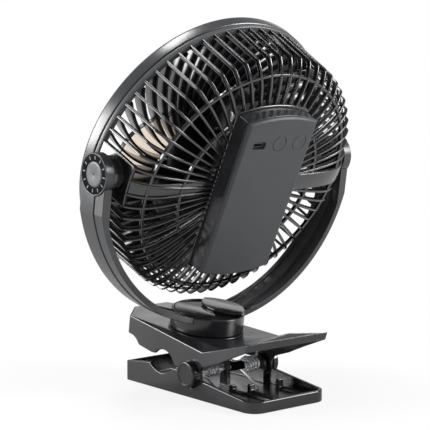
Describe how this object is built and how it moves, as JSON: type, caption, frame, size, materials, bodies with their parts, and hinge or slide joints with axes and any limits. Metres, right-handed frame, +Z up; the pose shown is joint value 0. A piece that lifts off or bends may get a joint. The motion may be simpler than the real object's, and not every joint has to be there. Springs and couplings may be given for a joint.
{
  "type": "portable camping fan",
  "caption": "Rechargeable clip-on camping fan: caged fan head with a lamp, tilting in a yoke on a swivel hub and a spring clamp.",
  "frame": {"origin": "on the flat underside of the clamp's lower jaw, on the plane of symmetry, where the swivel hub's axis crosses it", "axes": "+Z up, +Y to the rear where the control box and the clamp's handles are, +X to the side with the lamp's centre, along the tilt axis"},
  "size_m": [0.2306, 0.1642, 0.2731],
  "materials": {
    "dark_shell": "satin charcoal",
    "yoke_shell": "satin charcoal, a touch lighter",
    "ring_shell": "satin grey metallic paint",
    "cage_plastic": "glossy near-black",
    "blade_plastic": "glossy black",
    "dial_black": "matt black",
    "lamp_cream": "milky cream",
    "steel": "bright zinc-plated",
    "nylon": "natural nylon",
    "copper_stack": "enamelled windings",
    "magnet": "dark ferrite",
    "cell_sleeve": "blue shrink sleeve",
    "board_green": "green solder mask",
    "led_board": "white-coated"
  },
  "bodies": {
    "clamp_base": {"lower_jaw": "dark_shell", "clamp_pin": "steel", "pin_cap_left": "dark_shell", "pin_cap_right": "dark_shell", "pin_sleeve": "nylon", "clamp_spring_left": "steel", "clamp_spring_right": "steel"},
    "clamp_top": {"upper_jaw": "dark_shell", "swivel_base": "dial_black", "swivel_base_screws": "steel", "thrust_washer": "nylon", "swivel_washer": "steel", "swivel_screw": "steel"},
    "yoke": {"yoke_front": "yoke_shell", "yoke_rear": "yoke_shell", "swivel_hub": "dark_shell", "tilt_dial_left": "dial_black", "tilt_dial_right": "dial_black", "dial_cap_left": "yoke_shell", "dial_cap_right": "yoke_shell"},
    "knob": {"lock_knob": "dark_shell"},
    "head": {"front_ring": "ring_shell", "front_grille": "cage_plastic", "rear_cage": "cage_plastic", "lamp_back": "lamp_cream", "lamp_board": "led_board", "lamp_lens": "lamp_cream", "lamp_rim": "dark_shell", "stator_core": "copper_stack", "motor_can": "steel", "motor_end_plate": "steel", "motor_bearings": "steel", "motor_screws": "steel", "control_box": "dark_shell", "box_cover": "dark_shell", "box_screws": "steel", "battery_cells": "cell_sleeve", "battery_bracket": "dial_black", "circuit_board": "board_green", "tact_switches": "dial_black", "usb_c_port": "steel", "tilt_bolt_left": "steel", "tilt_bolt_right": "steel", "tilt_washer_left": "nylon", "tilt_washer_right": "nylon"},
    "rotor": {"fan_blade": "blade_plastic", "motor_shaft": "steel", "rotor_magnet": "magnet"},
    "power_push": {"power_button": "dark_shell"},
    "light_push": {"light_button": "dark_shell"}
  },
  "joints": [
    {"name": "clamp_open", "type": "hinge", "parent": "clamp_base", "child": "clamp_top", "pos_m": [0, 0.0315, 0.0175], "axis": [-1, 0, 0], "range_deg": [0, 25], "stiffness_Nm_per_rad": 2, "springref_deg": -34.38},
    {"name": "base_swivel", "type": "hinge", "parent": "clamp_top", "child": "yoke", "pos_m": [0, 0.00708, 0.04816], "axis": [0, 0.1444, 0.9895], "continuous": true},
    {"name": "knob_turn", "type": "hinge", "parent": "yoke", "child": "knob", "pos_m": [0, 0.00852, 0.05805], "axis": [0, 0.1444, 0.9895], "range_deg": [0, 90]},
    {"name": "head_tilt", "type": "hinge", "parent": "yoke", "child": "head", "pos_m": [0, 0.0244, 0.1669], "axis": [1, 0, 0], "continuous": true},
    {"name": "blade_spin", "type": "hinge", "parent": "head", "child": "rotor", "pos_m": [0, 0.0244, 0.1669], "axis": [0, 0.898, -0.4399], "continuous": true},
    {"name": "power_press", "type": "slide", "parent": "head", "child": "power_push", "axis": [0, -0.898, 0.4399], "range_m": [0, 0.0008], "stiffness_N_per_m": 900, "springref_m": -0.0006},
    {"name": "light_press", "type": "slide", "parent": "head", "child": "light_push", "axis": [0, -0.898, 0.4399], "range_m": [0, 0.0008], "stiffness_N_per_m": 900, "springref_m": -0.0006}
  ]
}
